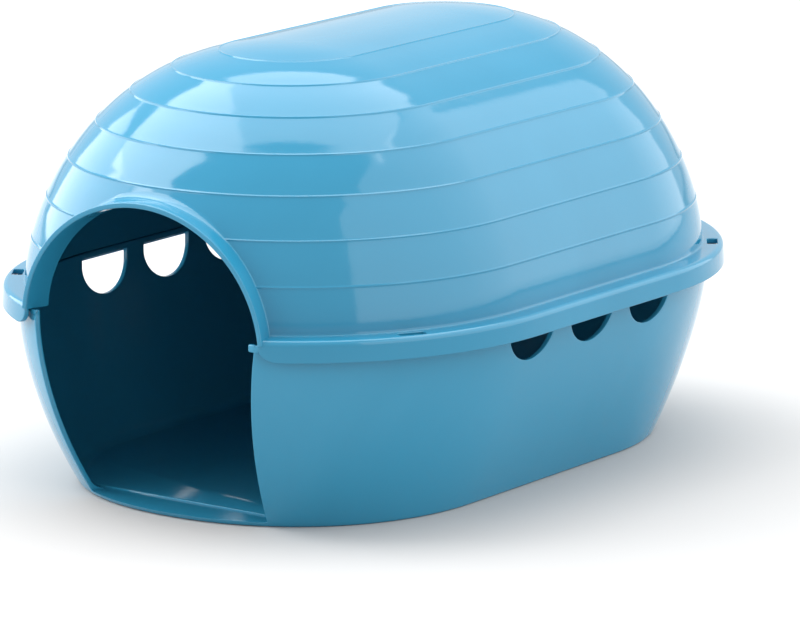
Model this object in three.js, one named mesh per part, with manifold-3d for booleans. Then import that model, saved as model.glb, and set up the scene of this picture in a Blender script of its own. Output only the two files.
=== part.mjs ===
// A small-animal house: a flat-floored plastic tub with a cut-out doorway, and a domed lid that
// sits over its rim and carries the arched half of the doorway.
// Millimetres, +Z up, doorway towards -Y, origin under the middle of the outer box.
import * as THREE from 'three';
import { mergeVertices } from 'three/addons/utils/BufferGeometryUtils.js';
import Module from 'manifold-3d';

const wasm = await Module();
wasm.setup();

// ---------------------------------------------------------------- driving dimensions
const WALL = 2; // wall of both mouldings
const GAP = 0.4; // clearance between lid and tub
const FAR = 60; // how far a cutter runs past what it cuts
const FOOT_FILLET = 0.7; // where the dome meets the ledge
const ROUND_MIDDLE = 0.3; // share of a rounding's radius left at its middle

// Plan outline of the dome's foot: a straight middle and two rounded ends.
const DOME = { halfWidth: 101.4, endLength: 101.0, straight: 45.5, power: 2.07 };
const DOME_RISE = { height: 90, width: 0.859, length: 0.801, lift: 1.197 };
const RIB_HEIGHTS = [92.8, 108.6, 123.4, 136.7, 148.1, 157.0, 162.9];
const RIB = { proud: 0.35, halfWidth: 0.55 };
const RIDGE_ANGLES = [83, 89]; // the last two outside rings, in degrees up the dome's curve
const INSIDE_ANGLES = [2, 9, 17, 25, 33, 42, 51, 60, 69, 77, 83, 88];

// The ledge round the dome's foot, and the skirt that hangs from its edge and flares a little.
const LEDGE_Z = 75.6;
const LEDGE_WIDTH = 8.6; // from the dome's foot to the skirt's lower edge
const SKIRT_BOTTOM_Z = 67.4;
const SKIRT_FLARE = 0.4;
const EDGE_ROUND = 2;

// The doorway: a half ellipse in the lid, slightly flared towards its lip.
const LIP_Y = -141.8;
const COLLAR_ROOT_Y = -133;
const ARCH = { springZ: 68.75, rise: 48.6, lipHalfWidth: 53.6, rootHalfWidth: 50.8 };
const SKIRT_CORNER = { along: 7, up: 5.5 };
const COLLAR_BITE = 12; // how far the collar runs back into the dome before it is hollowed
const ARCH_STEPS = 28;
const CORNER_STEPS = 5;

// Four slots in the ledge, each with a snap bead under it.
const SLOT = { width: 4.0, length: 10.2, angle: Math.atan2(-0.835, 0.55) };
const SLOT_PLACES = { front: [91.3, -99.6], back: [90.4, 101.0] }; // on the right-hand side
const SLOT_OFFSET = 4.3; // how far a slot's middle lies outside the dome's foot
const SNAP_BEAD = { proud: 0.9, height: 1.8, topZ: 70.7 };

// The tub: sizes at the floor, sizes at the rim, and how quickly one becomes the other.
const TUB_FLOOR = {
  halfWidth: 81.1, endLength: 81.2, frontLength: 81.2, straight: 47.5, power: 2.125,
};
const TUB_RIM = {
  halfWidth: 101.4, endLength: 110.8, frontLength: 112.8, straight: 40.6, power: 2.15,
};
const TUB_SWELL = { width: 1.43, length: 1.97 };
const TUB_HEIGHTS = [6, 13, 21, 30, 39, 48, 58, SKIRT_BOTTOM_Z];
const TUB_CENTRE_Y = 1;
const TUB_EDGE_ROUND = 0.9;
const TUB_INSIDE_FILLET = 3;
const FLOOR_Z = 2.6;
const SILL_Z = 2.0;
const THRESHOLD_Y = -112.5;
const RIM_TOP_Z = LEDGE_Z - WALL - GAP;
const RIM_FLANGE_REACH = LEDGE_WIDTH - WALL - 1.2;

// Doorway in the tub, vents in its long sides, and the nib at the head of its right jamb.
const DOOR_HALF_WIDTH = (z) => 40.4 + 0.19 * z - 0.0007 * z * z;
const VENT = { centres: [-37.1, 1.9, 40.9], halfWidth: 14.2, shoulderZ: 68, bottomZ: 55.6 };
const VENT_CUT = 12; // how far a vent's cutter runs to each side of the wall
const VENT_STEPS = 12;
const NIB = { reach: 2.9, root: 2, y: -138.9, thickness: 2, height: 2.9 };

// ---------------------------------------------------------------- outlines and rings
const QUARTER_STEPS = 14;

// A quarter of a superellipse outline, from the right-hand side to the end, pushed out along its
// own normal by `offset`.
function quarterOutline(halfWidth, endLength, straight, power, offset) {
  const quarter = [];
  for (let i = 0; i <= QUARTER_STEPS; i += 1) {
    const turn = (i / QUARTER_STEPS) * (Math.PI / 2);
    const across = Math.abs(Math.cos(turn)) ** (2 / power);
    const along = Math.abs(Math.sin(turn)) ** (2 / power);
    const normal = new THREE.Vector2(
      across ** (power - 1) / halfWidth,
      along ** (power - 1) / endLength,
    ).normalize();
    const x = halfWidth * across + offset * normal.x;
    const y = straight + endLength * along + offset * normal.y;
    quarter.push([i === QUARTER_STEPS ? 0 : x, y]);
  }
  return quarter;
}

// One horizontal ring, anticlockwise from the right-hand side.
function ring(size, z, offset = 0) {
  const { halfWidth, endLength, frontLength = endLength, straight, power, centreY = 0 } = size;
  const end = (length) => {
    const right = quarterOutline(halfWidth, length, straight, power, offset);
    const left = right.slice(0, -1).reverse().map(([x, y]) => [-x, y]);
    return [...right, ...left];
  };
  const front = end(frontLength).reverse().map(([x, y]) => [x, -y]);
  return [...end(endLength), ...front].map(([x, y]) => new THREE.Vector3(x, y + centreY, z));
}

// Outline of the dome at an angle up its curve, 0 at the foot and 90 degrees at the ridge.
function domeLevel(angle) {
  const c = Math.max(Math.cos(angle), 1e-6);
  return {
    halfWidth: DOME.halfWidth * c ** DOME_RISE.width,
    endLength: DOME.endLength * c ** DOME_RISE.length,
    straight: DOME.straight,
    power: DOME.power,
    z: LEDGE_Z + DOME_RISE.height * Math.sin(angle) ** DOME_RISE.lift,
  };
}

function domeAngleAt(z) {
  return Math.asin(((z - LEDGE_Z) / DOME_RISE.height) ** (1 / DOME_RISE.lift));
}

// A dome ring moved `depth` along the surface normal: positive is out, negative is in.
function domeRing(angle, depth = 0) {
  const step = 0.002;
  const level = domeLevel(angle);
  const above = domeLevel(Math.min(angle + step, Math.PI / 2));
  const below = domeLevel(Math.max(angle - step, 0));
  const normal = new THREE.Vector2(
    above.z - below.z,
    below.halfWidth - above.halfWidth,
  ).normalize();
  return ring(level, level.z + depth * normal.y, depth * normal.x);
}

// Outline of the tub's outside at height z.
function tubLevel(z) {
  const part = Math.min(z / SKIRT_BOTTOM_Z, 1);
  const widthGrowth = 1 - (1 - part) ** TUB_SWELL.width;
  const lengthGrowth = 1 - (1 - part) ** TUB_SWELL.length;
  const blend = (key, growth) => TUB_FLOOR[key] + (TUB_RIM[key] - TUB_FLOOR[key]) * growth;
  return {
    halfWidth: blend('halfWidth', widthGrowth),
    endLength: blend('endLength', lengthGrowth),
    frontLength: blend('frontLength', lengthGrowth),
    straight: blend('straight', lengthGrowth),
    power: blend('power', lengthGrowth),
    centreY: TUB_CENTRE_Y,
  };
}

// ---------------------------------------------------------------- solids
function toManifold(geometry) {
  const bare = geometry.clone();
  bare.deleteAttribute('normal');
  bare.deleteAttribute('uv');
  const merged = mergeVertices(bare, 1e-5);
  return new wasm.Manifold(new wasm.Mesh({
    numProp: 3,
    vertProperties: new Float32Array(merged.attributes.position.array),
    triVerts: new Uint32Array(merged.index.array),
  }));
}

function toGeometry(manifold) {
  const { vertProperties, triVerts } = manifold.getMesh();
  const geometry = new THREE.BufferGeometry();
  geometry.setAttribute('position', new THREE.BufferAttribute(vertProperties, 3));
  geometry.setIndex(new THREE.BufferAttribute(triVerts, 1));
  geometry.computeVertexNormals();
  return geometry;
}

function signedVolume(points, faces) {
  const cross = new THREE.Vector3();
  return faces.reduce(
    (sum, [a, b, c]) => sum + points[a].dot(cross.crossVectors(points[b], points[c])),
    0,
  );
}

// A closed solid through a list of rings of equal length, capped flat at both ends.
// `flat` turns a ring's point into the two coordinates its cap is triangulated in.
function loft(rings, flat = (p) => new THREE.Vector2(p.x, p.y)) {
  const count = rings[0].length;
  const points = rings.flat();
  const faces = [];
  for (let r = 0; r + 1 < rings.length; r += 1) {
    for (let i = 0; i < count; i += 1) {
      const next = (i + 1) % count;
      const [a, b] = [r * count + i, r * count + next];
      faces.push([a, b, b + count], [a, b + count, a + count]);
    }
  }
  const last = (rings.length - 1) * count;
  for (const [a, b, c] of THREE.ShapeUtils.triangulateShape(rings[0].map(flat), [])) {
    faces.push([a, c, b]);
  }
  for (const [a, b, c] of THREE.ShapeUtils.triangulateShape(rings.at(-1).map(flat), [])) {
    faces.push([last + a, last + b, last + c]);
  }
  const inward = signedVolume(points, faces) < 0;
  const geometry = new THREE.BufferGeometry();
  geometry.setAttribute('position', new THREE.Float32BufferAttribute(
    points.flatMap((p) => p.toArray()),
    3,
  ));
  geometry.setIndex(faces.flatMap(([a, b, c]) => (inward ? [a, c, b] : [a, b, c])));
  return toManifold(geometry);
}

// A flat outline of [across, up] points made into a bar along X or Y.
function bar(outline, axis, from, to) {
  const at = (d) => outline.map(([across, up]) => (
    axis === 'x' ? new THREE.Vector3(d, across, up) : new THREE.Vector3(across, d, up)
  ));
  return loft([at(from), at(to)], (p) => new THREE.Vector2(axis === 'x' ? p.y : p.x, p.z));
}

function block(size, centre, turn = 0) {
  const geometry = new THREE.BoxGeometry(...size);
  geometry.rotateZ(turn);
  geometry.translate(...centre);
  return toManifold(geometry);
}

function subtractAll(body, cutters) {
  return cutters.reduce((left, cutter) => left.subtract(cutter), body);
}

// Calls make(x sign, y sign) for the four corners of the plan.
function atCorners(make) {
  return [[1, 1], [-1, 1], [-1, -1], [1, -1]].map(([sx, sy]) => make(sx, sy));
}

// ---------------------------------------------------------------- lid
function lidOutside() {
  const edge = LEDGE_WIDTH - SKIRT_FLARE;
  const profile = [
    [LEDGE_WIDTH, SKIRT_BOTTOM_Z],
    [edge, LEDGE_Z - EDGE_ROUND],
    [edge - ROUND_MIDDLE * EDGE_ROUND, LEDGE_Z - ROUND_MIDDLE * EDGE_ROUND],
    [edge - EDGE_ROUND, LEDGE_Z],
    [FOOT_FILLET, LEDGE_Z],
    [ROUND_MIDDLE * FOOT_FILLET, LEDGE_Z + (1 - ROUND_MIDDLE) * FOOT_FILLET],
  ];
  const rings = profile.map(([offset, z]) => ring(DOME, z, offset));
  let previous = LEDGE_Z;
  for (const height of RIB_HEIGHTS) {
    rings.push(domeRing(domeAngleAt((previous + height) / 2)));
    rings.push(domeRing(domeAngleAt(height - RIB.halfWidth)));
    rings.push(domeRing(domeAngleAt(height), RIB.proud));
    rings.push(domeRing(domeAngleAt(height + RIB.halfWidth)));
    previous = height;
  }
  for (const degrees of RIDGE_ANGLES) {
    rings.push(domeRing(THREE.MathUtils.degToRad(degrees)));
  }
  return loft(rings);
}

function lidInside() {
  const reach = LEDGE_WIDTH - WALL;
  const rings = [
    ring(DOME, SKIRT_BOTTOM_Z - FAR, reach),
    ring(DOME, LEDGE_Z - WALL, reach),
    ring(DOME, LEDGE_Z - WALL, -WALL),
  ];
  for (const degrees of INSIDE_ANGLES) {
    rings.push(domeRing(THREE.MathUtils.degToRad(degrees), -WALL));
  }
  return loft(rings);
}

// Half-ellipse arch in the XZ plane. `feet` lists the right foot's points from the top down.
function archOutline(halfWidth, rise, feet) {
  const arch = [];
  for (let i = 0; i <= ARCH_STEPS; i += 1) {
    const turn = (i / ARCH_STEPS) * Math.PI;
    const up = Math.sin(turn);
    arch.push([halfWidth * Math.cos(turn), ARCH.springZ + rise * up]);
  }
  const [[, footTop]] = feet;
  return [
    ...feet.slice().reverse(),
    ...arch.filter(([, z]) => z > footTop + 1),
    ...feet.map(([x, z]) => [-x, z]),
  ];
}

// Feet of the doorway cutter: straight down, then out round the skirt's lower corner.
function cutterFeet(halfWidth) {
  const top = SKIRT_BOTTOM_Z + SKIRT_CORNER.up;
  const feet = [];
  for (let i = 0; i <= CORNER_STEPS; i += 1) {
    const turn = (i / CORNER_STEPS) * (Math.PI / 2);
    feet.push([
      halfWidth + SKIRT_CORNER.along * (1 - Math.cos(turn)),
      top - SKIRT_CORNER.up * Math.sin(turn),
    ]);
  }
  feet.push([halfWidth + SKIRT_CORNER.along, SKIRT_BOTTOM_Z - FAR]);
  return feet;
}

function doorCutter() {
  const section = (y, halfWidth) => (
    archOutline(halfWidth, ARCH.rise, cutterFeet(halfWidth))
      .map(([x, z]) => new THREE.Vector3(x, y, z))
  );
  return loft([
    section(LIP_Y - FAR, ARCH.lipHalfWidth),
    section(LIP_Y, ARCH.lipHalfWidth),
    section(COLLAR_ROOT_Y, ARCH.rootHalfWidth),
    section(COLLAR_ROOT_Y + FAR / 2, ARCH.rootHalfWidth),
  ], (p) => new THREE.Vector2(p.x, p.z));
}

// The collar that carries the arch forward from the dome to the lip.
function collar() {
  const section = (y, halfWidth) => {
    const foot = [[halfWidth + WALL, LEDGE_Z - WALL / 2]];
    return archOutline(halfWidth + WALL, ARCH.rise + WALL, foot)
      .map(([x, z]) => new THREE.Vector3(x, y, z));
  };
  return loft([
    section(LIP_Y, ARCH.lipHalfWidth),
    section(COLLAR_ROOT_Y, ARCH.rootHalfWidth),
    section(COLLAR_ROOT_Y + COLLAR_BITE, ARCH.rootHalfWidth),
  ], (p) => new THREE.Vector2(p.x, p.z));
}

// How far a slot is turned about Z at one corner of the plan.
function slotTurn(sx, sy) {
  return sx * sy > 0 ? SLOT.angle : -SLOT.angle;
}

function slotPlace(sx, sy) {
  const [x, y] = sy > 0 ? SLOT_PLACES.back : SLOT_PLACES.front;
  return [sx * x, y];
}

function slotCutter(sx, sy) {
  const centre = [...slotPlace(sx, sy), LEDGE_Z];
  return block([SLOT.length, SLOT.width, 4 * WALL], centre, slotTurn(sx, sy));
}

// A short bead inside the skirt, under each slot, that the tub's rim clicks past.
function snapBead(sx, sy) {
  const turn = slotTurn(sx, sy);
  const [x, y] = slotPlace(sx, sy);
  const out = new THREE.Vector2(Math.abs(Math.sin(turn)), Math.abs(Math.cos(turn)));
  const depth = SNAP_BEAD.proud + WALL / 2;
  const reach = LEDGE_WIDTH - WALL - SNAP_BEAD.proud + depth / 2 - SLOT_OFFSET;
  const centre = [
    x + sx * out.x * reach,
    y + sy * out.y * reach,
    SNAP_BEAD.topZ - SNAP_BEAD.height / 2,
  ];
  return block([SLOT.length, depth, SNAP_BEAD.height], centre, turn);
}

function makeLid() {
  const front = block([4 * FAR, FAR, 5 * FAR], [0, LIP_Y - FAR / 2, LEDGE_Z]);
  const shell = subtractAll(lidOutside().add(collar()), [
    lidInside(),
    doorCutter(),
    front,
    ...atCorners(slotCutter),
  ]);
  return atCorners(snapBead).reduce((body, bead) => body.add(bead), shell);
}

// ---------------------------------------------------------------- tub
function tubOutside() {
  const r = TUB_EDGE_ROUND;
  const rings = [
    ring(tubLevel(0), 0, -r),
    ring(tubLevel(0), ROUND_MIDDLE * r, -ROUND_MIDDLE * r),
    ring(tubLevel(r), r),
  ];
  for (const z of [...TUB_HEIGHTS, RIM_TOP_Z]) {
    rings.push(ring(tubLevel(z), z));
  }
  return loft(rings);
}

function tubInside() {
  const fillet = TUB_INSIDE_FILLET;
  const rings = [
    ring(tubLevel(FLOOR_Z), FLOOR_Z, -WALL - fillet),
    ring(tubLevel(FLOOR_Z), FLOOR_Z + ROUND_MIDDLE * fillet, -WALL - ROUND_MIDDLE * fillet),
  ];
  for (const z of [FLOOR_Z + fillet, ...TUB_HEIGHTS.slice(1), RIM_TOP_Z + FAR]) {
    rings.push(ring(tubLevel(z), z, -WALL));
  }
  return loft(rings);
}

// The flat rim that stands out from the tub's wall and closes the space under the ledge.
function rimFlange() {
  return loft([RIM_TOP_Z - WALL, RIM_TOP_Z].map((z) => ring(DOME, z, RIM_FLANGE_REACH)));
}

function tubDoorCutter() {
  const heights = [SILL_Z, ...TUB_HEIGHTS.slice(1), RIM_TOP_Z + FAR / 4];
  const right = heights.map((z) => [DOOR_HALF_WIDTH(z), z]);
  const left = right.slice().reverse().map(([x, z]) => [-x, z]);
  const outline = [...right, ...left];
  const raised = outline.map(([x, z]) => [x, Math.max(z, FLOOR_Z)]);
  const low = bar(outline, 'y', -4 * FAR, THRESHOLD_Y);
  return low.add(bar(raised, 'y', -4 * FAR, THRESHOLD_Y + FAR / 2));
}

// U-shaped vent, open towards the rim's underside.
function ventCutter(centre, side) {
  const outline = [
    [centre + VENT.halfWidth, RIM_TOP_Z - WALL],
    [centre - VENT.halfWidth, RIM_TOP_Z - WALL],
  ];
  for (let i = 0; i <= VENT_STEPS; i += 1) {
    const turn = Math.PI + (i / VENT_STEPS) * Math.PI;
    outline.push([
      centre + VENT.halfWidth * Math.cos(turn),
      VENT.shoulderZ + (VENT.shoulderZ - VENT.bottomZ) * Math.sin(turn),
    ]);
  }
  return bar(outline, 'x', side * (TUB_RIM.halfWidth - VENT_CUT), side * (TUB_RIM.halfWidth + VENT_CUT));
}

function doorNib() {
  const edge = DOOR_HALF_WIDTH(RIM_TOP_Z);
  const width = NIB.reach + NIB.root;
  return block(
    [width, NIB.thickness, NIB.height],
    [edge + NIB.root - width / 2, NIB.y, RIM_TOP_Z - NIB.height / 2],
  );
}

function makeTub() {
  const vents = VENT.centres.flatMap((y) => [ventCutter(y, 1), ventCutter(y, -1)]);
  const body = tubOutside().add(rimFlange());
  return subtractAll(body, [tubInside(), tubDoorCutter(), ...vents]).add(doorNib());
}

// ---------------------------------------------------------------- assembly
const plastic = (color) => new THREE.MeshStandardMaterial({ color, roughness: 0.28, metalness: 0 });

function addPart(group, name, manifold, color) {
  const mesh = new THREE.Mesh(toGeometry(manifold), plastic(color));
  mesh.name = name;
  group.add(mesh);
}

const house = new THREE.Group();
addPart(house, 'tub', makeTub(), 0x6fb4d2);
addPart(house, 'lid', makeLid(), 0x74b9d6);

// Centre the outer box on the origin: the lid's back edge and its lip are the two ends.
const backY = DOME.straight + DOME.endLength + LEDGE_WIDTH;
house.position.y = -(backY + LIP_Y) / 2;

export default house;
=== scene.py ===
"""Looks for a two-part moulded small-animal house: a flat-floored tub under a ribbed, domed lid.

The CAD frame gives the place and the size of both mouldings. Here each is built again as a finely
ringed shell with rounded edges. The lid adds its doorway collar and snap beads, and the tub its
floor panel and nib. Both get a glossy moulded-plastic material.
Shapes are worked out in millimetres and written to the meshes in metres. The studio is in metres.
"""

import math

import bmesh
import bpy
import numpy as np
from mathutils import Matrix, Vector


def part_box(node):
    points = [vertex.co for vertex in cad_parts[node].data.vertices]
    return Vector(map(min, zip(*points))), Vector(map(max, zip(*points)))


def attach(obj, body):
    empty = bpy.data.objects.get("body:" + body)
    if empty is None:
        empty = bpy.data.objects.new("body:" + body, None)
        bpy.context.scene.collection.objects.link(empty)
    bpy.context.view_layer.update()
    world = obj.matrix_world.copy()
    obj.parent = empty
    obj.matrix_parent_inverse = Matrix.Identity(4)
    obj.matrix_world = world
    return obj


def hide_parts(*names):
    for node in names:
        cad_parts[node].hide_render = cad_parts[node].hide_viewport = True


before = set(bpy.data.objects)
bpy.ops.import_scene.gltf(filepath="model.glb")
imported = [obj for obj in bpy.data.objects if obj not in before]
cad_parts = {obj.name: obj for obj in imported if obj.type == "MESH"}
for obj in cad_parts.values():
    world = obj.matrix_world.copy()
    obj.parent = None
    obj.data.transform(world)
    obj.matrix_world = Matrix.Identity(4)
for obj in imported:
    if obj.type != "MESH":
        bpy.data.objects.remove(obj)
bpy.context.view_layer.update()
MM = 0.001

# ---------------------------------------------------------------- sizes, in millimetres
WALL = 2.0
DOME = (101.4, 101.0, 45.5, 2.07)  # half width, end length, half of the straight, power
DOME_HEIGHT, DOME_WIDTH_POWER, DOME_LENGTH_POWER, DOME_LIFT_POWER = 90.0, 0.859, 0.801, 1.197
RIB_HEIGHTS = (92.8, 108.6, 123.4, 136.7, 148.1, 157.0, 162.9)
RIB_PROUD, RIB_HALF_WIDTH = 0.28, 0.5
# Across a rib: the place in half widths, and the share of its height.
RIB_PROFILE = ((-1.5, 0.0), (-1, 0.06), (-0.5, 0.62), (0, 1.0), (0.5, 0.62), (1, 0.06), (1.5, 0.0))
RIB_REACH = RIB_PROFILE[-1][0]

LEDGE_Z, LEDGE_WIDTH, SKIRT_BOTTOM_Z, LEDGE_ROUND = 75.6, 8.6, 67.4, 2.0
LEDGE_INNER_ROUND = 0.4  # how far the ledge's hidden inner corner is cut back
SKIRT_FLARE, FOOT_FILLET = 0.4, 0.7
EDGE_ROUND = 0.3  # rounding of the edges where a shell is cut

LIP_Y, COLLAR_ROOT_Y = -141.8, -133.0
ARCH_SPRING_Z, ARCH_RISE, ARCH_LIP, ARCH_ROOT = 68.75, 48.6, 53.6, 50.8
COLLAR_WALL, COLLAR_BOTTOM_Z, COLLAR_STEPS = 2.0, 73.5, 240
COLLAR_INNER_ROUND, COLLAR_LIP_ROUND = 0.35, 0.45
COLLAR_FILLET, COLLAR_FILLET_GROWTH = 0.8, 4.2  # at its feet, and what its crown adds
COLLAR_BITE = 1.6  # how far past the arch the collar's root runs inside the dome's wall
ARCH_TRIM = 1.5  # how far past the arch the dome's wall is cut, inside the collar's root
ARCH_TRIM_FROM_Z, ARCH_TRIM_FULL_Z = 73.4, 75.4
CORNER_ALONG, CORNER_UP = 7.0, 5.5

SLOT_WIDTH, SLOT_LENGTH, SLOT_OFFSET, SLOT_ROUND = 4.0, 10.2, 4.3, 0.7
SLOT_FLOOR_Z = 72.0  # the slots cut the ledge above this height, and not the skirt
SLOT_ANGLE = math.atan2(-0.835, 0.55)
SLOT_PLACES = {1: (90.4, 101.0), -1: (91.3, -99.6)}  # back and front, on the right-hand side
BEAD_PROUD, BEAD_HEIGHT, BEAD_TOP_Z, BEAD_ROUND = 0.9, 1.8, 70.7, 0.25

TUB_FLOOR = (81.1, 81.2, 47.5, 2.125, 81.2)  # as DOME, and the front end's own length
TUB_RIM = (101.4, 110.8, 40.6, 2.15, 112.8)
TUB_WIDTH_SWELL, TUB_LENGTH_SWELL = 1.43, 1.97
TUB_CENTRE_Y = 1.0
TUB_EDGE_ROUND, FLOOR_FILLET = 0.9, 3.0
FLOOR_Z, SILL_Z, THRESHOLD_Y, THRESHOLD_ROUND = 2.6, 2.0, -112.5, 0.25
SILL_MARGIN = 0.6  # how far the sill runs in, and the floor panel out, past the fillet's foot
RIM_TOP_Z, FLANGE_UNDER_Z, FLANGE_REACH, RIM_ROUND = 73.2, 71.2, 5.4, 0.6
VENT_CENTRES, VENT_HALF_WIDTH, VENT_SHOULDER_Z, VENT_BOTTOM_Z = (-37.1, 1.9, 40.9), 14.2, 68.0, 55.6
VENT_TOP_Z = 70.85  # just under the flange, which runs on over the vents
VENT_SIDES_X = 60.0  # the vents cut only the walls beyond this, left and right
DOOR_BACK_Y = -60.0  # the doorway cuts only the wall in front of this
NIB_REACH, NIB_ROOT, NIB_THICKNESS, NIB_HEIGHT, NIB_ROUND, NIB_Y = 2.9, 2.0, 2.0, 2.9, 0.55, -138.9
FAR_INSIDE = 9.0  # stands for a point well clear of every cut

# The frame's lip is at the lid's lowest Y, which gives the shift from these drawing numbers.
SHIFT = np.array([0.0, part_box("lid")[0].y / MM - LIP_Y, 0.0])


def door_half_width(z):
    return 40.4 + 0.19 * z - 0.0007 * z * z


def smooth_step(value, low, high):
    t = np.clip((value - low) / (high - low), 0, 1)
    return t * t * (3 - 2 * t)


# ---------------------------------------------------------------- plan outlines
def quarter_turns(count, crowded):
    """Turns from 0 to 90 degrees, closer together near each (degrees, spread, strength)."""
    fine = np.linspace(0, 90, 2001)
    density = np.ones_like(fine)
    for centre, spread, strength in crowded:
        density += strength * np.exp(-(((fine - centre) / spread) ** 2))
    total = np.concatenate([[0], np.cumsum((density[1:] + density[:-1]) / 2)])
    return np.radians(np.interp(np.linspace(0, total[-1], count + 1), total, fine))


def plan_columns(count, straight_steps, crowded):
    """Columns once round the plan, anticlockwise from the right: turn, x sign, y place."""
    turn = quarter_turns(count, crowded)
    side = np.linspace(1, -1, straight_steps + 1)[1:-1]
    parts = [
        (turn, 1, 1),
        (turn[::-1][1:], -1, 1),
        (np.zeros_like(side), -1, side),
        (turn, -1, -1),
        (turn[::-1][1:], 1, -1),
        (np.zeros_like(side), 1, -side),
    ]
    turns = np.concatenate([p[0] for p in parts])
    sx = np.concatenate([np.full(len(p[0]), p[1]) for p in parts])
    sy = np.concatenate([np.broadcast_to(p[2], len(p[0])) for p in parts]).astype(float)
    return turns, sx.astype(float), sy


def ring(columns, size, z, offset=0.0):
    """One level outline through the columns, pushed out along its own normal."""
    half_width, back_length, straight, power, *front = size
    front_length, centre_y = front or (back_length, 0.0)
    turn, sx, sy = columns
    end_length = np.where(sy > 0, back_length, front_length)
    across = np.maximum(np.cos(turn), 0) ** (2 / power)
    along = np.maximum(np.sin(turn), 0) ** (2 / power)
    across[turn > math.pi / 2 - 1e-9] = 0
    normal = np.stack([
        across ** (power - 1) / max(half_width, 1e-9),
        along ** (power - 1) / np.maximum(end_length, 1e-9),
    ])
    normal /= np.linalg.norm(normal, axis=0)
    end = np.where(np.abs(sy) > 1 - 1e-9, np.sign(sy), 0)
    x = sx * (half_width * across + offset * normal[0])
    y = centre_y + sy * straight + end * (end_length * along + offset * normal[1])
    return np.stack([x, y, np.full_like(x, z)], axis=1)


# ---------------------------------------------------------------- trimmed shells
def boundary_loops(faces):
    """The open edges of a face list, chained into loops of vertex numbers."""
    edges = {}
    for face in faces:
        for a, b in zip(face, face[1:] + face[:1]):
            edges[(a, b)] = edges.get((a, b), 0) + 1
    following = {a: b for (a, b) in edges if (b, a) not in edges}
    loops = []
    while following:
        start = next(iter(following))
        loop = [start]
        step = following.pop(start)
        while step != start:
            loop.append(step)
            step = following.pop(step)
        loops.append(loop)
    return loops


def vertex_normals(points, faces):
    normals = np.zeros_like(points)
    for face in faces:
        corner = points[face]
        n = np.cross(corner[2] - corner[0], corner[-1] - corner[1])
        normals[face] += n
    return normals / np.maximum(np.linalg.norm(normals, axis=1, keepdims=True), 1e-12)


def outward_along_surface(points, normals, loop):
    """For each loop vertex, the direction that leaves the surface across its edge."""
    p = points[loop]
    tangent = np.zeros_like(p)
    for reach in (1, 2):
        ahead = np.roll(p, -reach, axis=0) - p
        behind = p - np.roll(p, reach, axis=0)
        for leg in (ahead, behind):
            tangent += leg / np.maximum(np.linalg.norm(leg, axis=1, keepdims=True), 1e-9)
    out = np.cross(tangent, normals[loop])
    return out / np.maximum(np.linalg.norm(out, axis=1, keepdims=True), 1e-12)


SNAP = 0.2  # a ring point nearer to the cut than this share of its edge is moved on to it
CUT_STEPS = 14  # halvings used to find where an edge crosses the cut
BEND_SHARE = 0.45  # the most of the wall's thickness that one edge's rounding may take


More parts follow.
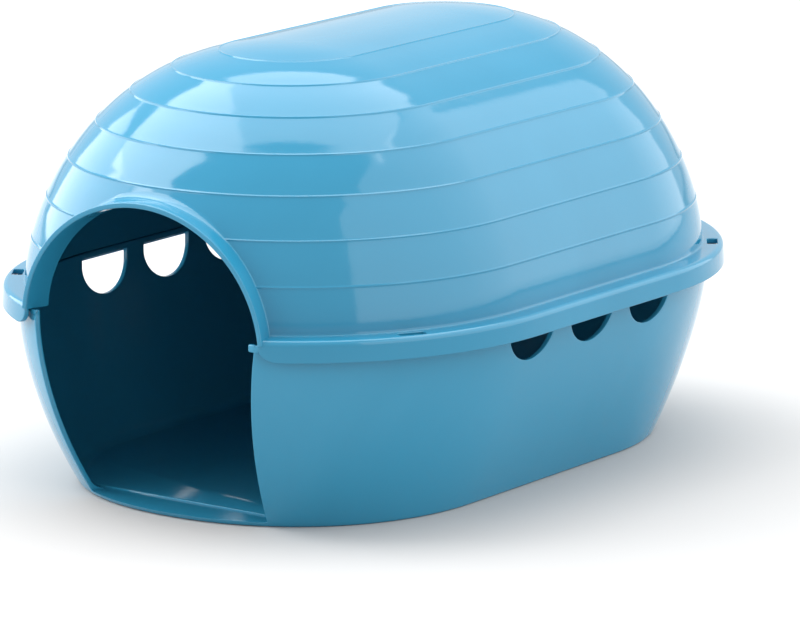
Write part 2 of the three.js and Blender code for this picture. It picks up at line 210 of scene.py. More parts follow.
def trimmed_shell(outer, inner, keep, collapsed, radius):
    """A closed wall between two ring grids, cut where keep() is negative, with rounded edges.

    outer and inner are (rings, columns, 3). collapsed is the ring that closes on itself.
    """
    rings, columns, _ = outer.shape
    outer, inner = outer.copy(), inner.copy()
    value = keep(outer)
    value[np.abs(value) < 1e-4] = 0

    def crossing(a, b):
        """Share of the way from a to b at which keep() is zero."""
        low, high = 0.0, 1.0
        at_low = value[a]
        for _ in range(CUT_STEPS):
            middle = (low + high) / 2
            point = outer[a] + (outer[b] - outer[a]) * middle
            here = keep(point[None])[0]
            if (here > 0) == (at_low > 0):
                low = middle
            else:
                high = middle
        return (low + high) / 2

    shares = {}
    for k in range(rings):
        for n in range(columns):
            for other in ((k, (n + 1) % columns), (k + 1, n)):
                if other[0] < rings and value[k, n] * value[other] < 0:
                    shares[((k, n), other)] = crossing((k, n), other)

    moves = {}
    for (a, b), share in shares.items():
        if share < SNAP and a not in moves:
            moves[a] = (b, share)
        elif share > 1 - SNAP and b not in moves:
            moves[b] = (a, 1 - share)
    old_outer, old_inner = outer.copy(), inner.copy()
    for vertex, (towards, share) in moves.items():
        outer[vertex] = old_outer[vertex] + (old_outer[towards] - old_outer[vertex]) * share
        inner[vertex] = old_inner[vertex] + (old_inner[towards] - old_inner[vertex]) * share
        value[vertex] = 0

    points_out, points_in, numbers, welded = [], [], {}, {}

    def add(out_point, in_point):
        points_out.append(out_point)
        points_in.append(in_point)
        return len(points_out) - 1

    def grid_vertex(vertex):
        if vertex not in numbers:
            if vertex[0] == collapsed:
                key = tuple(np.round(outer[vertex], 3) + 0.0)
                if key not in welded:
                    welded[key] = add(outer[vertex], inner[vertex])
                numbers[vertex] = welded[key]
            else:
                numbers[vertex] = add(outer[vertex], inner[vertex])
        return numbers[vertex]

    def edge_vertex(a, b):
        key = (a, b) if (a, b) in shares else (b, a)
        if key not in numbers:
            first, second = key
            share = crossing(first, second)
            numbers[key] = add(
                outer[first] + (outer[second] - outer[first]) * share,
                inner[first] + (inner[second] - inner[first]) * share,
            )
        return numbers[key]

    faces = []
    for k in range(rings - 1):
        for n in range(columns):
            after = (n + 1) % columns
            corners = [(k, n), (k, after), (k + 1, after), (k + 1, n)]
            values = [value[c] for c in corners]
            if max(values) <= 0:
                continue
            face = []
            for i in range(4):
                a, b = corners[i], corners[(i + 1) % 4]
                va, vb = values[i], values[(i + 1) % 4]
                if va >= 0:
                    face.append(grid_vertex(a))
                if va * vb < 0:
                    face.append(edge_vertex(a, b))
            face = [v for i, v in enumerate(face) if v != face[i - 1]]
            if len(face) > 2:
                faces.append(face)

    points_out, points_in = np.array(points_out), np.array(points_in)
    normals_out = vertex_normals(points_out, faces)
    normals_in = vertex_normals(points_in, faces)
    count = len(points_out)
    points = [points_out, points_in]
    all_faces = faces + [[v + count for v in reversed(face)] for face in faces]
    total = 2 * count
    arc = np.radians([30, 60, 90])
    for loop in boundary_loops(faces):
        loop = np.array(loop)
        start_out, start_in = points_out[loop], points_in[loop]
        way_out = outward_along_surface(points_out, normals_out, loop)
        way_in = outward_along_surface(points_in, normals_in, loop)
        corner_out, corner_in = start_out + radius * way_out, start_in + radius * way_in
        through = corner_in - corner_out
        length = np.linalg.norm(through, axis=1, keepdims=True)
        through /= np.maximum(length, 1e-9)
        bend = np.minimum(radius, length * BEND_SHARE)
        rows = [
            corner_out - radius * (1 - math.sin(t)) * way_out + bend * (1 - math.cos(t)) * through
            for t in arc
        ]
        rows += [
            corner_in - radius * (1 - math.sin(t)) * way_in - bend * (1 - math.cos(t)) * through
            for t in arc[::-1]
        ]
        size = len(loop)
        lines = [loop]
        for row in rows:
            points.append(row)
            lines.append(np.arange(total, total + size))
            total += size
        lines.append(loop + count)
        for near, far in zip(lines, lines[1:]):
            for i in range(size):
                j = (i + 1) % size
                all_faces.append([int(near[j]), int(near[i]), int(far[i]), int(far[j])])
    return np.concatenate(points), all_faces


# ---------------------------------------------------------------- meshes
SHARP_DEGREES = 35


def make_object(name, parts, body, material):
    """One mesh object from several closed parts, given in drawing millimetres."""
    points, faces, start = [], [], 0
    for part_points, part_faces in parts:
        points.append(np.asarray(part_points, float))
        faces += [[int(v) + start for v in face] for face in part_faces]
        start += len(part_points)
    mesh = bpy.data.meshes.new(name)
    mesh.from_pydata(((np.concatenate(points) + SHIFT) * MM).tolist(), [], faces)
    mesh.validate()
    work = bmesh.new()
    work.from_mesh(mesh)
    bmesh.ops.remove_doubles(work, verts=work.verts, dist=2e-6)
    bmesh.ops.dissolve_degenerate(work, edges=work.edges, dist=1e-6)
    bmesh.ops.recalc_face_normals(work, faces=work.faces)
    work.to_mesh(mesh)
    work.free()
    mesh.shade_smooth()
    mesh.set_sharp_from_angle(angle=math.radians(SHARP_DEGREES))
    mesh.materials.append(material)
    piece = bpy.data.objects.new(name, mesh)
    bpy.context.scene.collection.objects.link(piece)
    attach(piece, body)
    return piece


def rounded_block(size, centre, turn, radius):
    """A small closed block with rounded edges, turned about Z."""
    work = bmesh.new()
    bmesh.ops.create_cube(work, size=1.0)
    for vertex in work.verts:
        vertex.co = [c * s for c, s in zip(vertex.co, size)]
    bmesh.ops.bevel(
        work, geom=work.edges[:], offset=radius, segments=3, profile=0.5, affect="EDGES"
    )
    work.verts.index_update()
    cos, sin = math.cos(turn), math.sin(turn)
    points = [
        (
            v.co.x * cos - v.co.y * sin + centre[0],
            v.co.x * sin + v.co.y * cos + centre[1],
            v.co.z + centre[2],
        )
        for v in work.verts
    ]
    faces = [[v.index for v in face.verts] for face in work.faces]
    work.free()
    return np.array(points), faces


# ---------------------------------------------------------------- lid
def dome_level(angle):
    """The dome's plan and height at one angle up its curve, from 0 at the ledge."""
    c = max(math.cos(angle), 1e-9)
    size = (
        DOME[0] * c ** DOME_WIDTH_POWER,
        DOME[1] * c ** DOME_LENGTH_POWER,
        DOME[2],
        DOME[3],
    )
    return size, LEDGE_Z + DOME_HEIGHT * math.sin(angle) ** DOME_LIFT_POWER


def dome_angle_at(z):
    return math.asin(min(((z - LEDGE_Z) / DOME_HEIGHT) ** (1 / DOME_LIFT_POWER), 1))


def dome_ring(columns, angle, depth=0.0):
    """A dome ring moved along the surface normal: out is positive."""
    size, z = dome_level(angle)
    step = 0.002
    above, z_above = dome_level(min(angle + step, math.pi / 2))
    below, z_below = dome_level(max(angle - step, 0))
    out, up = z_above - z_below, below[0] - above[0]
    length = math.hypot(out, up)
    return ring(columns, size, z + depth * up / length, depth * out / length)


def dome_front_y(x, z):
    """Y of the dome's front at each (x, z)."""
    rise = np.clip((z - LEDGE_Z) / DOME_HEIGHT, 0, 1) ** (1 / DOME_LIFT_POWER)
    c = np.sqrt(np.maximum(1 - rise**2, 1e-9))
    half_width = DOME[0] * c ** DOME_WIDTH_POWER
    end_length = DOME[1] * c ** DOME_LENGTH_POWER
    inside = np.maximum(1 - (np.abs(x) / half_width) ** DOME[3], 1e-9)
    return -(DOME[2] + end_length * inside ** (1 / DOME[3]))


CORNERS = [(1, 1), (-1, 1), (-1, -1), (1, -1)]


def slot_place(sx, sy):
    """Middle of the slot at one corner of the plan, and its turn about Z."""
    x, y = SLOT_PLACES[sy]
    return sx * x, y, SLOT_ANGLE if sx * sy > 0 else -SLOT_ANGLE


def lid_rings(columns):
    """Matching outer and inner rings of the lid, from the skirt's edge to the ridge."""
    outer, inner = [], []
    reach_in = LEDGE_WIDTH - WALL
    low = SKIRT_BOTTOM_Z + EDGE_ROUND
    edge, edge_z = LEDGE_WIDTH - SKIRT_FLARE, LEDGE_Z - LEDGE_ROUND
    under = LEDGE_Z - WALL

    def foot(offset, z, inner_offset, inner_z):
        outer.append(ring(columns, DOME, z, offset))
        inner.append(ring(columns, DOME, inner_z, inner_offset))

    for z in (low, 67.95, 68.3, 68.8, 69.4, 70.2, 71.2, 72.2, 73.0, edge_z):
        flare = SKIRT_FLARE * (edge_z - z) / (edge_z - SKIRT_BOTTOM_Z)
        foot(edge + flare, z, reach_in, min(z, under - LEDGE_INNER_ROUND))
    for degrees in (12, 24, 36, 48, 60, 75, 90):
        t = math.radians(degrees)
        foot(
            edge - LEDGE_ROUND * (1 - math.cos(t)),
            LEDGE_Z - LEDGE_ROUND * (1 - math.sin(t)),
            reach_in - 0.1 * degrees / 90,
            under - LEDGE_INNER_ROUND * (1 - degrees / 90),
        )
    # Close rings across the ledge, where the slots are cut.
    for offset in (5.9, 5.5, 5.0, 4.4, 3.8, 3.2, 2.7, 2.3, 1.9, 1.6, 1.2):
        foot(offset, LEDGE_Z, offset, under)
    for degrees, inner_offset in zip((0, 18, 36, 54, 72), (0.8, 0.2, -0.5, -1.2, -1.9)):
        t = math.radians(degrees)
        foot(
            FOOT_FILLET * (1 - math.sin(t)),
            LEDGE_Z + FOOT_FILLET * (1 - math.cos(t)),
            inner_offset,
            under,
        )
    for index, z in enumerate((76.8, 77.6, 78.6, 80.0)):
        outer.append(dome_ring(columns, dome_angle_at(z)))
        inner.append(dome_ring(columns, dome_angle_at(LEDGE_Z + 0.2 + 0.9 * index), -WALL))

    heights = [(z, 0.0) for z in (82.0, 85.0, 88.2, 91.0)]
    for i, rib in enumerate(RIB_HEIGHTS):
        slope = slope_length(rib)
        for place, share in RIB_PROFILE:
            heights.append((rib + place * RIB_HALF_WIDTH * slope, share * RIB_PROUD))
        if i + 1 < len(RIB_HEIGHTS):
            after = RIB_HEIGHTS[i + 1]
            start = rib + RIB_REACH * RIB_HALF_WIDTH * slope
            end = after - RIB_REACH * RIB_HALF_WIDTH * slope_length(after)
            heights += [(start + (end - start) * s, 0.0) for s in (0.18, 0.39, 0.61, 0.82)]
    for z, proud in heights:
        angle = dome_angle_at(z)
        outer.append(dome_ring(columns, angle, proud))
        inner.append(dome_ring(columns, angle, -WALL))
    for degrees in (80, 83, 86, 88, 89.3):
        angle = math.radians(degrees)
        if dome_level(angle)[1] > heights[-1][0] + 0.2:
            outer.append(dome_ring(columns, angle))
            inner.append(dome_ring(columns, angle, -WALL))
    outer.append(ring(columns, (1e-9, 1e-9, DOME[2], DOME[3]), LEDGE_Z + DOME_HEIGHT))
    inner.append(ring(columns, (1e-9, 1e-9, DOME[2], DOME[3]), LEDGE_Z + DOME_HEIGHT - WALL))
    outer, inner = np.array(outer), np.array(inner)
    outer[..., 1] = np.maximum(outer[..., 1], LIP_Y)
    inner[..., 1] = np.maximum(inner[..., 1], LIP_Y + 1.2)
    return outer, inner


def slope_length(z):
    """Height gained for each millimetre along the dome's curve at z."""
    low, high = dome_level(dome_angle_at(z - 0.1)), dome_level(dome_angle_at(z + 0.1))
    rise, run = high[1] - low[1], low[0][0] - high[0][0]
    return rise / math.hypot(rise, run)


def arch_distance(x, z, half_width):
    """Distance outside the doorway's half ellipse."""
    u, v = x / half_width, (z - ARCH_SPRING_Z) / ARCH_RISE
    level = np.hypot(u, v)
    slope = np.hypot(u / half_width, v / ARCH_RISE) / np.maximum(level, 1e-6)
    return (level - 1) / np.maximum(slope, 1e-6)


def lid_keep(points):
    """Distance from the lid's openings: negative inside the doorway and the slots."""
    x, y, z = points[..., 0], points[..., 1], points[..., 2]
    ax = np.abs(x)
    share = np.clip((y - LIP_Y) / (COLLAR_ROOT_Y - LIP_Y), 0, 1)
    half_width = ARCH_LIP + (ARCH_ROOT - ARCH_LIP) * share
    arch = arch_distance(ax, z, half_width) - ARCH_TRIM
    foot = ax - ARCH_LIP - EDGE_ROUND
    foot = foot + (arch - foot) * smooth_step(z, ARCH_TRIM_FROM_Z, ARCH_TRIM_FULL_Z)
    u = (ax - ARCH_LIP - CORNER_ALONG) / CORNER_ALONG
    v = (z - SKIRT_BOTTOM_Z - CORNER_UP) / CORNER_UP
    level = np.hypot(u, v)
    slope = np.hypot(u / CORNER_ALONG, v / CORNER_UP) / np.maximum(level, 1e-6)
    corner = (1 - level) / np.maximum(slope, 1e-6) - EDGE_ROUND
    in_corner = (v < 0) & (u < 0)
    beyond = (v < 0) & (u >= 0)
    door = np.where(in_corner, corner, np.where(beyond, FAR_INSIDE, foot))
    value = np.where(y < 0, door, FAR_INSIDE)
    for sx, sy in CORNERS:
        slot_x, slot_y, turn = slot_place(sx, sy)
        dx, dy = x - slot_x, y - slot_y
        along = dx * math.cos(turn) + dy * math.sin(turn)
        outward = dy * math.cos(turn) - dx * math.sin(turn)
        a = np.abs(along) - SLOT_LENGTH / 2 + SLOT_ROUND
        b = np.abs(outward) - SLOT_WIDTH / 2 + SLOT_ROUND
        slot = np.hypot(np.maximum(a, 0), np.maximum(b, 0)) + np.minimum(np.maximum(a, b), 0)
        slot = slot - SLOT_ROUND - EDGE_ROUND
        value = np.where(z > SLOT_FLOOR_Z, np.minimum(value, slot), value)
    return value


def make_collar():
    """The arched collar: a closed strip with a rounded lip and a fillet that meets the dome."""
    foot = math.asin((COLLAR_BOTTOM_Z - ARCH_SPRING_Z) / ARCH_RISE)
    stations = np.linspace(foot, math.pi - foot, COLLAR_STEPS + 1)
    sections = []
    for theta in stations:
        cos, sin = math.cos(theta), math.sin(theta)

        def place(rho, y):
            share = min(max((y - LIP_Y) / (COLLAR_ROOT_Y - LIP_Y), 0), 1)
            half_width = ARCH_LIP + (ARCH_ROOT - ARCH_LIP) * share
            nx, nz = cos / half_width, sin / ARCH_RISE
            length = math.hypot(nx, nz)
            return np.array([
                half_width * cos + rho * nx / length,
                y,
                ARCH_SPRING_Z + ARCH_RISE * sin + rho * nz / length,
            ])

        def dome_y(rho):
            x, _, z = place(rho, COLLAR_ROOT_Y)
            return float(dome_front_y(np.array(x), np.array(z)))

        fillet = COLLAR_FILLET + COLLAR_FILLET_GROWTH * smooth_step(sin, 0.72, 1.0)
        touch = COLLAR_WALL + fillet * 0.5
        for _ in range(12):
            slope = (dome_y(touch + 0.05) - dome_y(touch - 0.05)) / 0.1
            tilt = math.hypot(1, slope)
            touch = COLLAR_WALL + fillet * (1 - slope / tilt)
        centre = (COLLAR_WALL + fillet, dome_y(touch) - fillet / tilt)
        end = math.atan2(1 / tilt, -slope / tilt)
        inner_y = dome_y(0.0) + WALL * tilt
        section = [
            (0.0, inner_y),
            (0.0, (inner_y + LIP_Y) / 2),
            (0.0, LIP_Y + COLLAR_INNER_ROUND),
        ]
        for degrees in (30, 60, 90):
            t = math.radians(degrees)
            section.append((
                COLLAR_INNER_ROUND * (1 - math.cos(t)),
                LIP_Y + COLLAR_INNER_ROUND * (1 - math.sin(t)),
            ))
        for degrees in (0, 15, 30, 45, 60, 75, 90):
            t = math.radians(degrees)
            section.append((
                COLLAR_WALL - COLLAR_LIP_ROUND * (1 - math.sin(t)),
                LIP_Y + COLLAR_LIP_ROUND * (1 - math.cos(t)),
            ))
        start_y = LIP_Y + COLLAR_LIP_ROUND
        for share in (0.33, 0.67):
            section.append((COLLAR_WALL, start_y + (centre[1] - start_y) * share))
        for step in range(11):
            t = math.pi + (end - math.pi) * step / 10
            section.append((centre[0] + fillet * math.cos(t), centre[1] + fillet * math.sin(t)))
        last = section[-1][0]
        section.append((last + 0.5, dome_y(last + 0.5) + 0.06))
        section.append((last + 0.5, dome_y(last + 0.5) + 0.8))
        section.append((COLLAR_BITE, dome_y(COLLAR_BITE) + 1.2))
        section.append((COLLAR_BITE, dome_y(COLLAR_BITE) + WALL * tilt))
        sections.append([place(rho, y) for rho, y in section])
    sections = np.array(sections)
    count, size, _ = sections.shape
    faces = []
    for i in range(count - 1):
        for j in range(size):
            k = (j + 1) % size
            faces.append([i * size + j, i * size + k, (i + 1) * size + k, (i + 1) * size + j])
    faces.append(list(range(size - 1, -1, -1)))
    faces.append([(count - 1) * size + j for j in range(size)])
    return sections.reshape(-1, 3), faces


def snap_beads():
    """The four beads inside the skirt, one under each slot."""
    beads = []
    for sx, sy in CORNERS:
        slot_x, slot_y, turn = slot_place(sx, sy)
        out_x, out_y = abs(math.sin(turn)), abs(math.cos(turn))
        depth = BEAD_PROUD + WALL / 2
        reach = LEDGE_WIDTH - WALL - BEAD_PROUD + depth / 2 - SLOT_OFFSET
        centre = (
            slot_x + sx * out_x * reach,
            slot_y + sy * out_y * reach,
            BEAD_TOP_Z - BEAD_HEIGHT / 2,
        )
        beads.append(rounded_block((SLOT_LENGTH, depth, BEAD_HEIGHT), centre, turn, BEAD_ROUND))
    return beads


# ---------------------------------------------------------------- tub
def tub_level(z):
    """The tub's plan at one height: the floor's plan swelling out to the rim's."""
    part = min(z / SKIRT_BOTTOM_Z, 1)
    width = 1 - (1 - part) ** TUB_WIDTH_SWELL
    length = 1 - (1 - part) ** TUB_LENGTH_SWELL
    growth = (width, length, length, length, length)
    blended = [f + (r - f) * g for f, r, g in zip(TUB_FLOOR, TUB_RIM, growth)]
    return (*blended, TUB_CENTRE_Y)


def shrink_plan(size, share):
    """The same plan with its width and its two end lengths scaled."""
    half_width, back_length, straight, power, front_length, centre_y = size
    return half_width * share, back_length * share, straight, power, front_length * share, centre_y


def tub_rings(columns):
    """Matching outer and inner rings of the tub, from the floor's middle to the rim's edge."""
    outer, inner = [], []
    base, inside = tub_level(0), tub_level(SILL_Z)
    fillet_start = -WALL - FLOOR_FILLET
    sill_in = fillet_start - SILL_MARGIN
    for share in (1e-9, 0.15, 0.3, 0.45, 0.6, 0.75, 0.88, 0.96, 1.0):
        outer.append(ring(columns, shrink_plan(base, share), 0.0, -TUB_EDGE_ROUND * share))
        inner.append(ring(columns, shrink_plan(inside, share), SILL_Z, sill_in * share))
    at_sill = ring(columns, inside, SILL_Z)
    in_door = (at_sill[:, 1] < 0) & (np.abs(at_sill[:, 0]) < door_half_width(SILL_Z))
    edge = [
        (TUB_EDGE_ROUND * (math.sin(t) - 1), TUB_EDGE_ROUND * (1 - math.cos(t)))
        for t in np.radians([22, 45, 67, 90])
    ]
    edge += [(0.0, 1.45), (0.0, SILL_Z - EDGE_ROUND)]
    for i, (offset, z) in enumerate(edge):
        share = (i + 1) / len(edge)
        outer.append(ring(columns, tub_level(z), z, offset))
        sill = ring(columns, inside, SILL_Z, sill_in + (-EDGE_ROUND - sill_in) * share)
        floor = ring(columns, inside, SILL_Z, sill_in + (fillet_start - sill_in) * share)
        inner.append(np.where(in_door[:, None], sill, floor))
    fillet = [(SILL_Z + 0.1, fillet_start, 2.35), (2.3, fillet_start, FLOOR_Z)]
    for degrees, outer_z in ((-72, 2.7), (-54, 3.2), (-36, 3.9), (-18, 4.7), (0, 5.6)):
        t = math.radians(degrees)
        fillet.append((
            outer_z,
            -WALL - FLOOR_FILLET + FLOOR_FILLET * math.cos(t),
            FLOOR_Z + FLOOR_FILLET + FLOOR_FILLET * math.sin(t),
        ))
    for outer_z, offset, inner_z in fillet:
        outer.append(ring(columns, tub_level(outer_z), outer_z))
        inner.append(ring(columns, tub_level(inner_z), inner_z, offset))
    levels = list(np.arange(8.2, 54, 2.6)) + list(np.arange(54.4, VENT_TOP_Z + 0.2, 0.75))
    for z in levels:
        outer.append(ring(columns, tub_level(z), z))
        inner.append(ring(columns, tub_level(z), z, -WALL))
    top = tub_level(RIM_TOP_Z)
    rise = [(-WALL, FLANGE_UNDER_Z), (-WALL, 71.9), (-WALL, RIM_TOP_Z - RIM_ROUND)]
    rise += [
        (-WALL + RIM_ROUND * (1 - math.cos(t)), RIM_TOP_Z - RIM_ROUND * (1 - math.sin(t)))
        for t in np.radians([30, 60, 90])
    ]
    # Outside, these rings meet in the corner under the flange, each a little past the last.
    for i, (offset, z) in enumerate(rise):
        share = (i + 1) / len(rise)
        outer.append(ring(columns, top, FLANGE_UNDER_Z - 0.03 * (1 - share), 0.12 * share))
        inner.append(ring(columns, top, z, offset))
    edge_out = ring(columns, DOME, FLANGE_UNDER_Z, FLANGE_REACH - EDGE_ROUND)
    edge_in = ring(columns, DOME, RIM_TOP_Z, FLANGE_REACH - EDGE_ROUND)
    root_out, root_in = outer[-1].copy(), inner[-1].copy()
    for share in (0.2, 0.45, 0.7, 0.9, 1.0):
        outer.append(root_out + (edge_out - root_out) * share)
        inner.append(root_in + (edge_in - root_in) * share)
    return np.array(outer), np.array(inner)


def tub_keep(points):
    """Distance from the tub's openings: negative inside the doorway and the vents."""
    x, y, z = points[..., 0], points[..., 1], points[..., 2]
    ax = np.abs(x)
    jambs = np.maximum(ax - door_half_width(z), SILL_Z - z)
    value = np.maximum(jambs, y - DOOR_BACK_Y) - EDGE_ROUND
    for centre in VENT_CENTRES:
        u = (y - centre) / VENT_HALF_WIDTH
        v = np.minimum(z - VENT_SHOULDER_Z, 0) / (VENT_SHOULDER_Z - VENT_BOTTOM_Z)
        level = np.hypot(u, v)
        slope = np.hypot(u / VENT_HALF_WIDTH, v / (VENT_SHOULDER_Z - VENT_BOTTOM_Z))
        side = (level - 1) * level / np.maximum(slope, 1e-6)
        vent = np.maximum(side, z - VENT_TOP_Z) - EDGE_ROUND
        value = np.where(ax > VENT_SIDES_X, np.minimum(value, vent), value)
    return value


def floor_panel(columns):
    """The raised floor inside the tub, with its straight step behind the doorway."""
    outline = ring(columns, tub_level(FLOOR_Z), 0.0, -WALL - FLOOR_FILLET + SILL_MARGIN)
    kept = []
    for i in range(len(outline)):
        a, b = outline[i], outline[(i + 1) % len(outline)]
        if a[1] >= THRESHOLD_Y:
            kept.append(a[:2])
        if (a[1] - THRESHOLD_Y) * (b[1] - THRESHOLD_Y) < 0:
            share = (THRESHOLD_Y - a[1]) / (b[1] - a[1])
            kept.append((a + (b - a) * share)[:2])
    kept = np.array(kept)
    backwards = np.zeros_like(kept)
    backwards[kept[:, 1] <= THRESHOLD_Y + 0.01, 1] = 1.0
    rows = [(0.0, 1.2), (0.0, FLOOR_Z - THRESHOLD_ROUND)]
    rows += [
        (THRESHOLD_ROUND * (1 - math.cos(t)), FLOOR_Z - THRESHOLD_ROUND * (1 - math.sin(t)))
        for t in np.radians([30, 60, 90])
    ]
    points, faces = [], []
    for inset, z in rows:
        points += [(p[0], p[1], z) for p in kept + inset * backwards]
    size = len(kept)
    for r in range(len(rows) - 1):
        for i in range(size):
            j = (i + 1) % size
            faces.append([r * size + i, r * size + j, (r + 1) * size + j, (r + 1) * size + i])
    faces.append(list(range(size - 1, -1, -1)))
    faces.append([(len(rows) - 1) * size + i for i in range(size)])
    return np.array(points), faces


def door_nib():
    """The small block at the head of the doorway's right jamb."""
    length = NIB_REACH + NIB_ROOT
    edge = door_half_width(RIM_TOP_Z)
    centre = (edge + NIB_ROOT - length / 2, NIB_Y, RIM_TOP_Z - NIB_HEIGHT / 2)
    return rounded_block((length, NIB_THICKNESS, NIB_HEIGHT), centre, 0.0, NIB_ROUND)


# ---------------------------------------------------------------- material
# Both are one plastic. The tub's blues are lighter to make up for these lights, which leave it darker.
LID_BLUES = ((0.018, 0.190, 0.318), (0.023, 0.210, 0.348))
TUB_BLUES = ((0.022, 0.214, 0.352), (0.028, 0.236, 0.386))
GLOSS = (0.07, 0.11)


def moulded_plastic(name, seed, blues):
    """Glossy blue moulded plastic: faint flow streaks, soft skin ripple, uneven gloss."""
    material = bpy.data.materials.new(name)
    material.use_nodes = True
    nodes, links = material.node_tree.nodes, material.node_tree.links
    shader = nodes["Principled BSDF"]
    place = nodes.new("ShaderNodeTexCoord")
    shift = nodes.new("ShaderNodeMapping")
    shift.inputs["Location"].default_value = (seed, seed * 0.7, seed * 0.3)
    links.new(place.outputs["Object"], shift.inputs["Vector"])

    def noise(scale, detail, roughness, distortion=0.0):
        node = nodes.new("ShaderNodeTexNoise")
        node.inputs["Scale"].default_value = scale
        node.inputs["Detail"].default_value = detail
        node.inputs["Roughness"].default_value = roughness
        node.inputs["Distortion"].default_value = distortion
        links.new(shift.outputs["Vector"], node.inputs["Vector"])
        return node

    def span(source, low, high):
        node = nodes.new("ShaderNodeMapRange")
        node.inputs["From Min"].default_value = 0.3
        node.inputs["From Max"].default_value = 0.7
        node.inputs["To Min"].default_value = low
        node.inputs["To Max"].default_value = high
        links.new(source, node.inputs["Value"])
        return node

    streaks = noise(9.0, 5.0, 0.55, 0.8)
    tint = nodes.new("ShaderNodeValToRGB")
    tint.color_ramp.elements[0].position = 0.30
    tint.color_ramp.elements[0].color = (*blues[0], 1)
    tint.color_ramp.elements[1].position = 0.70
    tint.color_ramp.elements[1].color = (*blues[1], 1)
    links.new(streaks.outputs["Fac"], tint.inputs["Fac"])
    links.new(tint.outputs["Color"], shader.inputs["Base Color"])

    gloss = span(noise(26.0, 4.0, 0.6).outputs["Fac"], GLOSS[0], GLOSS[1])
    links.new(gloss.outputs["Result"], shader.inputs["Roughness"])

    skin = nodes.new("ShaderNodeBump")
    skin.inputs["Strength"].default_value = 0.035
    skin.inputs["Distance"].default_value = 0.0006
    links.new(noise(210.0, 2.0, 0.5).outputs["Fac"], skin.inputs["Height"])
    wave = nodes.new("ShaderNodeBump")
    wave.inputs["Strength"].default_value = 0.06
    wave.inputs["Distance"].default_value = 0.002
    links.new(noise(22.0, 1.0, 0.4).outputs["Fac"], wave.inputs["Height"])
    links.new(skin.outputs["Normal"], wave.inputs["Normal"])
    links.new(wave.outputs["Normal"], shader.inputs["Normal"])
    shader.inputs["IOR"].default_value = 1.5
    return material


# ---------------------------------------------------------------- pieces
lid_material = moulded_plastic("lid_plastic", 3.1, LID_BLUES)
tub_material = moulded_plastic("tub_plastic", 7.7, TUB_BLUES)

LID_COLUMNS = plan_columns(96, 13, [(32, 6, 1.8), (59, 5, 1.6)])
TUB_COLUMNS = plan_columns(90, 60, [(3, 5, 1.0), (64, 6, 1.4)])

lid_outer, lid_inner = lid_rings(LID_COLUMNS)
lid_shell = trimmed_shell(lid_outer, lid_inner, lid_keep, len(lid_outer) - 1, EDGE_ROUND)
lid = make_object("lid_shell", [lid_shell, *snap_beads()], "cover", lid_material)
collar = make_object("lid_collar", [make_collar()], "cover", lid_material)
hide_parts("lid")

tub_outer, tub_inner = tub_rings(TUB_COLUMNS)
tub_shell = trimmed_shell(tub_outer, tub_inner, tub_keep, 0, EDGE_ROUND)
tub = make_object("tub_shell", [tub_shell, floor_panel(TUB_COLUMNS), door_nib()],
                  "base", tub_material)
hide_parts("tub")


# ---------------------------------------------------------------- studio
CAMERA_AZIMUTH, CAMERA_ELEVATION, CAMERA_DISTANCE = 35.665, 12.389, 2.2938
CAMERA_TARGET = (0.00956, 0.00021, 0.05456)
PANEL_HEIGHT = 2.08  # of the overhead panels
FLOOR_REACH = 30.0
FLOOR_GREY = (0.46, 0.46, 0.46)  # the panels are bright enough to bring this up to white


def pale_paint(name, colour):
    material = bpy.data.materials.new(name)
    material.use_nodes = True
    nodes, links = material.node_tree.nodes, material.node_tree.links
    shader = nodes["Principled BSDF"]
    grain = nodes.new("ShaderNodeTexNoise")
    grain.inputs["Scale"].default_value = 3.0
    tint = nodes.new("ShaderNodeValToRGB")
    tint.color_ramp.elements[0].color = (*[c * 0.985 for c in colour], 1)
    tint.color_ramp.elements[1].color = (*colour, 1)
    links.new(grain.outputs["Fac"], tint.inputs["Fac"])
    links.new(tint.outputs["Color"], shader.inputs["Base Color"])
    shader.inputs["Roughness"].default_value = 0.9
    return material


def make_floor():
    mesh = bpy.data.meshes.new("floor")
    corners = [(x * FLOOR_REACH, y * FLOOR_REACH, 0) for x, y in ((-1, -1), (1, -1), (1, 1), (-1, 1))]
    mesh.from_pydata(corners, [], [(0, 1, 2, 3)])
    floor = bpy.data.objects.new("floor", mesh)
    bpy.context.scene.collection.objects.link(floor)
    mesh.materials.append(pale_paint("floor_paint", FLOOR_GREY))


def panel(name, azimuth, elevation, centre, width, height, brightness):
    """A rectangular light facing the house. Azimuth 0 stands in front of the doorway."""
    data = bpy.data.lights.new(name, "AREA")
    data.shape = "RECTANGLE"
    data.size, data.size_y = width, height
    data.energy = math.pi * width * height * brightness
    light = bpy.data.objects.new(name, data)
    light.location = centre
    light.rotation_euler = (math.radians(90 - elevation), 0, math.radians(azimuth))
    bpy.context.scene.collection.objects.link(light)


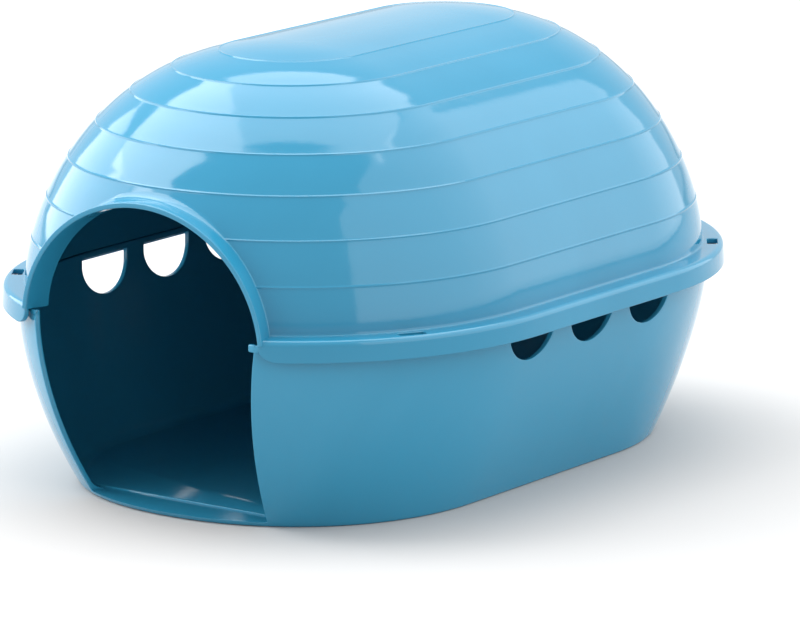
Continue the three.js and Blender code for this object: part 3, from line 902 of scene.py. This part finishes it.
def overhead(name, across, beyond, brightness):
    """A level panel square to the camera, from its two spans in metres: across and beyond."""
    a = math.radians(CAMERA_AZIMUTH)
    u, w = sum(across) / 2, sum(beyond) / 2
    centre = (u * math.cos(a) - w * math.sin(a), u * math.sin(a) + w * math.cos(a), PANEL_HEIGHT)
    width, height = across[1] - across[0], beyond[1] - beyond[0]
    panel(name, CAMERA_AZIMUTH, 90, centre, width, height, brightness)


def wall(name, azimuth, distance, across, up, brightness):
    """An upright panel, from its two spans in metres: across, seen from the house, and up."""
    a = math.radians(azimuth)
    side = sum(across) / 2
    centre = (
        distance * math.sin(a) + side * math.cos(a),
        side * math.sin(a) - distance * math.cos(a),
        sum(up) / 2,
    )
    panel(name, azimuth, 0, centre, across[1] - across[0], up[1] - up[0], brightness)


def make_world(strength):
    world = bpy.data.worlds.new("studio")
    bpy.context.scene.world = world
    world.use_nodes = True
    world.node_tree.nodes["Background"].inputs["Color"].default_value = (1, 1, 1, 1)
    world.node_tree.nodes["Background"].inputs["Strength"].default_value = strength


def make_camera():
    azimuth, elevation = math.radians(CAMERA_AZIMUTH), math.radians(CAMERA_ELEVATION)
    back = np.array([
        math.sin(azimuth) * math.cos(elevation),
        -math.cos(azimuth) * math.cos(elevation),
        math.sin(elevation),
    ])
    data = bpy.data.cameras.new("camera")
    data.sensor_width = 36.0
    data.lens = 270.0
    data.clip_end = 200.0
    camera = bpy.data.objects.new("camera", data)
    camera.location = np.array(CAMERA_TARGET) + back * CAMERA_DISTANCE
    camera.rotation_euler = (math.pi / 2 - elevation, 0, azimuth)
    bpy.context.scene.collection.objects.link(camera)
    bpy.context.scene.camera = camera


make_floor()
make_world(0.95)
overhead("key", (-3.4, -0.7), (-0.38, 1.8), 5.0)
overhead("top", (-0.7, 1.2), (-0.38, 1.8), 2.9)
wall("right_front", 117, 1.6, (-2.5, 0), (0.03, 3.0), 1.35)
wall("right_back", 117, 1.6, (0, 2.5), (0.03, 3.0), 1.45)
wall("left", -78, 2.0, (-1.2, 1.2), (0.1, 1.3), 2.8)
wall("front_left", -35, 2.2, (-0.9, 0.9), (0.3, 1.7), 1.7)
make_camera()
bpy.context.scene.view_settings.view_transform = "Standard"
